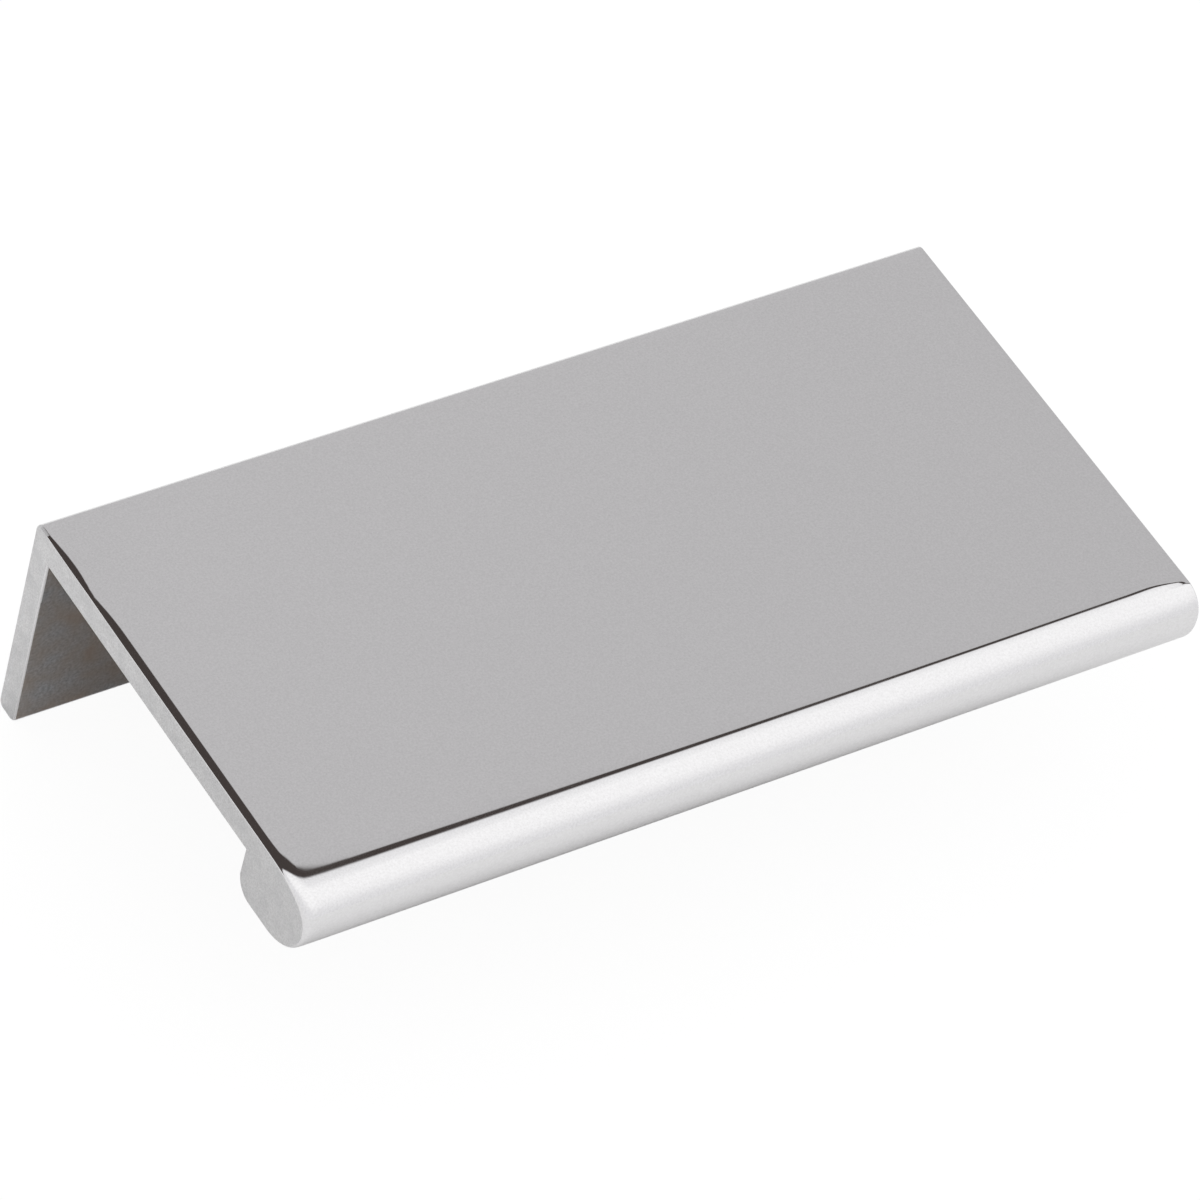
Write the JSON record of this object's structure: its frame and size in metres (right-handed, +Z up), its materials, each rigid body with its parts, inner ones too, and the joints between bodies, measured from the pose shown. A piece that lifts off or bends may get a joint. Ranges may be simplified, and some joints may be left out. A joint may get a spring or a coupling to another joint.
{
  "type": "tab pull",
  "caption": "L-shaped chrome tab pull that hooks over the edge of a drawer front: flat grip plate, rounded front lip and a screw leg behind.",
  "frame": {"origin": "midway between the two screw holes, on the leg's bearing face, which lies against the back of a drawer front", "axes": "+X along the pull, -Y out of the drawer front towards the user, +Z up, as the pull sits on the top edge of a drawer front"},
  "size_m": [0.0762, 0.0386, 0.0195],
  "materials": {
    "polished_chrome": "polished"
  },
  "bodies": {
    "root": {"tab_pull": "polished_chrome"}
  },
  "joints": []
}
